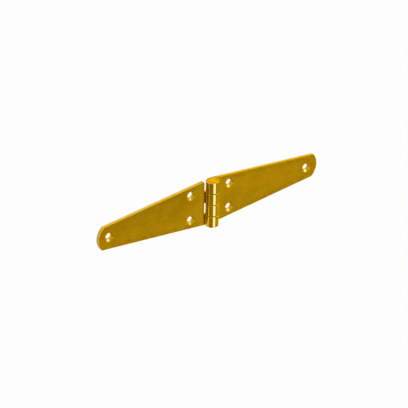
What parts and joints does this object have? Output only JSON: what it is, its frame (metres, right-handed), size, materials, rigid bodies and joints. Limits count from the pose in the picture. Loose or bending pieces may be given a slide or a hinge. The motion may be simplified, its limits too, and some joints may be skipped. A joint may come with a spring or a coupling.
{
  "type": "triangle hinge",
  "caption": "Strap hinge with two tapered steel leaves, each with countersunk screw holes, rolled round a riveted pin.",
  "frame": {"origin": "on the mounting plane, midway along the barrel and straight below the pin's axis, hinge open flat", "axes": "+X along the open leaves, +Y along the pin, +Z away from the mounting surface, to the barrel's side"},
  "size_m": [0.2, 0.0384, 0.0101],
  "materials": {
    "leaf": "yellow passivated zinc plating",
    "pin": "yellow passivated zinc plating"
  },
  "bodies": {
    "left_leaf_and_pin": {"left_leaf": "leaf", "hinge_pin": "pin"},
    "right_leaf_body": {"right_leaf": "leaf"}
  },
  "joints": [
    {"name": "pin_turn", "type": "hinge", "parent": "left_leaf_and_pin", "child": "right_leaf_body", "pos_m": [0, 0, 0.00505], "axis": [0, -1, 0], "range_deg": [-95, 180]}
  ]
}
